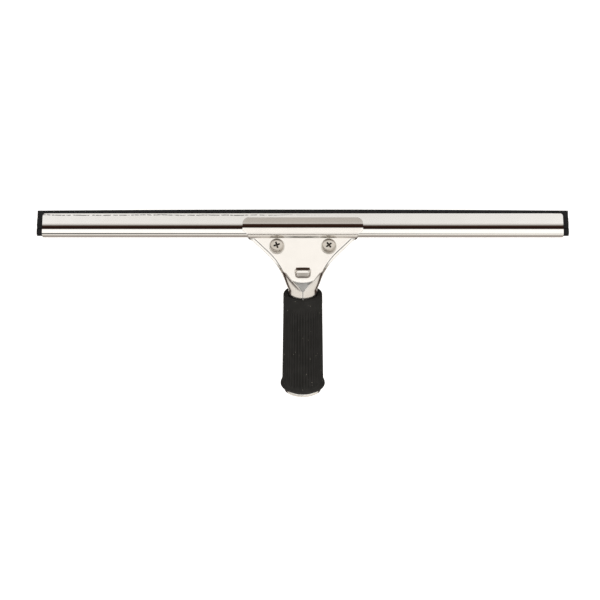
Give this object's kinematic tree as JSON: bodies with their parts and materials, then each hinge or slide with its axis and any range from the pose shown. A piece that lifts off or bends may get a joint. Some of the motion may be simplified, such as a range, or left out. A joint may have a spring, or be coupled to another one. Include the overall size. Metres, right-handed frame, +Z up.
{
  "type": "window cleaning squeegee",
  "caption": "Hand squeegee with a bent sheet-steel handle, ribbed rubber grip, screwed clamp plate and a steel channel holding a rubber blade.",
  "frame": {"origin": "on the handle's axis in the mouth of the pole socket, at the handle's lower end", "axes": "+Z up along the handle's axis, +X along the blade, -Y is the side that the clamp screws face; the head leans 38 degrees towards +Y"},
  "size_m": [0.4086, 0.0614, 0.1338],
  "materials": {
    "handle_steel": "stamped stainless sheet, lightly polished",
    "clamp_steel": "stamped stainless sheet, fine satin",
    "channel_steel": "rolled stainless strip, polished along its length",
    "screw_steel": "machined stainless, bright",
    "washer_steel": "blanked stainless, bright",
    "nut_steel": "machined steel",
    "blade_rubber": "smooth, slightly glossy",
    "grip_rubber": "matte, ribbed"
  },
  "bodies": {
    "handle": {"handle_body": "handle_steel", "grip_sleeve": "grip_rubber", "clinch_nut_left": "nut_steel", "clinch_nut_right": "nut_steel"},
    "clamp": {"clamp_plate": "clamp_steel"},
    "channel": {"channel": "channel_steel"},
    "blade": {"rubber_blade": "blade_rubber"},
    "left_washer": {"washer_left": "washer_steel"},
    "right_washer": {"washer_right": "washer_steel"},
    "left_screw": {"clamp_screw_left": "screw_steel"},
    "right_screw": {"clamp_screw_right": "screw_steel"}
  },
  "joints": [
    {"name": "left_washer_rise", "type": "slide", "parent": "handle", "child": "left_washer", "axis": [0, -0.788, 0.6157], "range_m": [0, 0.002]},
    {"name": "left_screw_turn", "type": "hinge", "parent": "left_washer", "child": "left_screw", "pos_m": [-0.0199, 0.02512, 0.11012], "axis": [0, -0.788, 0.6157], "range_deg": [0, 720]},
    {"name": "right_washer_rise", "type": "slide", "parent": "handle", "child": "right_washer", "axis": [0, -0.788, 0.6157], "range_m": [0, 0.002]},
    {"name": "right_screw_turn", "type": "hinge", "parent": "right_washer", "child": "right_screw", "pos_m": [0.0199, 0.02512, 0.11012], "axis": [0, -0.788, 0.6157], "range_deg": [0, 720]},
    {"name": "clamp_tilt", "type": "hinge", "parent": "handle", "child": "clamp", "pos_m": [0, 0.01335, 0.09311], "axis": [1, 0, 0], "range_deg": [0, 4]},
    {"name": "channel_slide", "type": "slide", "parent": "handle", "child": "channel", "axis": [1, 0, 0], "range_m": [-0.15, 0.15]},
    {"name": "blade_slide", "type": "slide", "parent": "channel", "child": "blade", "axis": [1, 0, 0], "range_m": [-0.2, 0.2]}
  ],
  "couplings": [
    {"joint": "left_screw_turn", "follows": "left_washer_rise", "rad_per_m": 6283.2},
    {"joint": "right_washer_rise", "follows": "left_washer_rise", "ratio": 1},
    {"joint": "right_screw_turn", "follows": "left_washer_rise", "rad_per_m": 6283.2},
    {"joint": "clamp_tilt", "follows": "left_washer_rise", "rad_per_m": 34.907}
  ]
}
